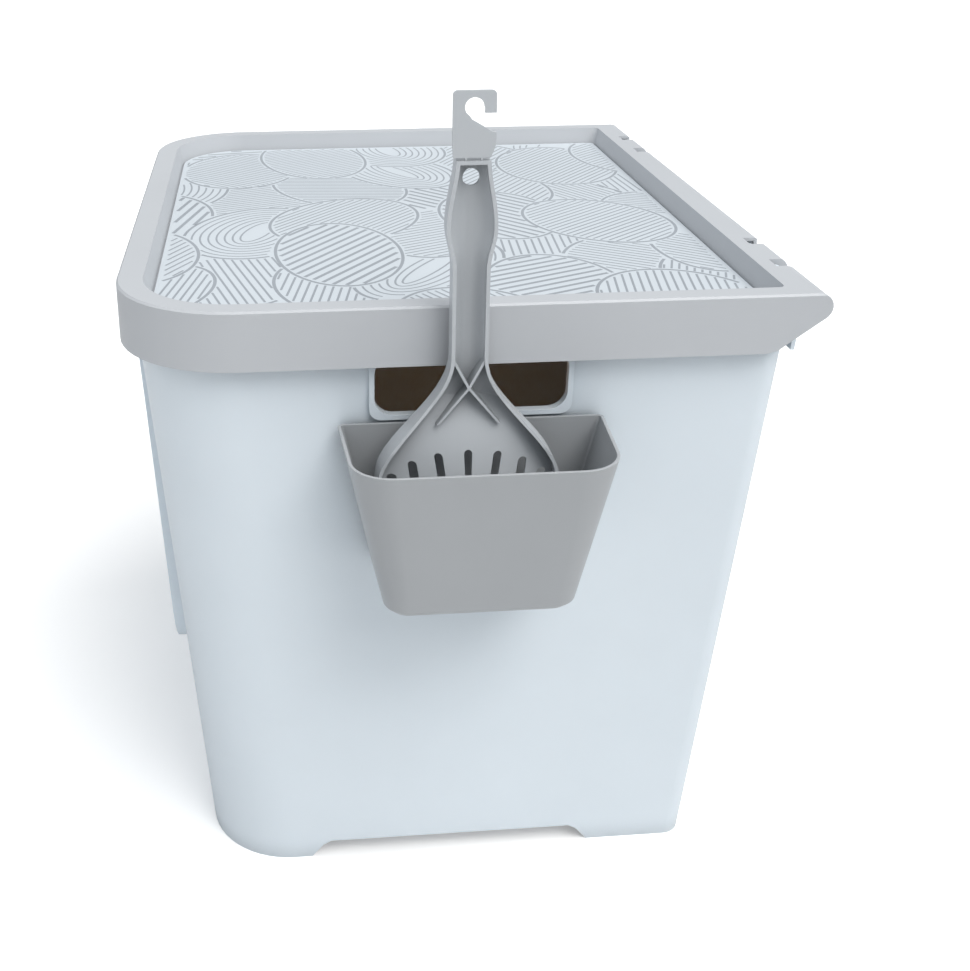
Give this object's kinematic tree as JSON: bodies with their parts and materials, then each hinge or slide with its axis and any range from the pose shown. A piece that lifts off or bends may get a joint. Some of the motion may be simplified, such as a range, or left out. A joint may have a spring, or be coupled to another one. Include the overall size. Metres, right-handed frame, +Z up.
{
  "type": "enclosed cat litter box",
  "caption": "Enclosed cat litter box: tapered tub, tray-topped lid hinged at the rear, flap door in a raised front frame, and a slotted scoop standing in a bin hooked on the end.",
  "frame": {"origin": "middle of the box round the whole part, at the ground under the tub's foot", "axes": "+X along the length towards the end that carries the bin, -Y towards the door in the front wall, +Z up"},
  "size_m": [0.5434, 0.4044, 0.5239],
  "materials": {
    "tub_white": "satin moulded polypropylene",
    "surround_white": "satin moulded polypropylene",
    "pin_grey": "satin",
    "flap_grey": "satin moulded polypropylene",
    "lid_grey": "satin moulded polypropylene",
    "mat_print": "matt printed sheet",
    "bin_grey": "satin moulded polypropylene",
    "scoop_grey": "satin moulded polypropylene"
  },
  "bodies": {
    "box": {"tub": "tub_white", "door_surround": "surround_white", "hinge_pin_near": "pin_grey", "hinge_pin_far": "pin_grey"},
    "lid_body": {"lid": "lid_grey", "lid_mat": "mat_print"},
    "flap": {"door_flap": "flap_grey"},
    "bin": {"scoop_bin": "bin_grey"},
    "scoop_body": {"scoop": "scoop_grey", "hang_tab": "scoop_grey"}
  },
  "joints": [
    {"name": "lid_hinge", "type": "hinge", "parent": "box", "child": "lid_body", "pos_m": [-0.03179, 0.1917, 0.3955], "axis": [-1, 0, 0], "range_deg": [0, 105]},
    {"name": "flap_hinge", "type": "hinge", "parent": "box", "child": "flap", "pos_m": [-0.03179, -0.18152, 0.34], "axis": [1, 0, 0], "range_deg": [-70, 70]},
    {"name": "bin_lift", "type": "slide", "parent": "box", "child": "bin", "axis": [0.0715, 0, 0.9974], "range_m": [0, 0.012]},
    {"name": "scoop_lift", "type": "slide", "parent": "bin", "child": "scoop_body", "axis": [0, 0, 1], "range_m": [0, 0.2]}
  ]
}
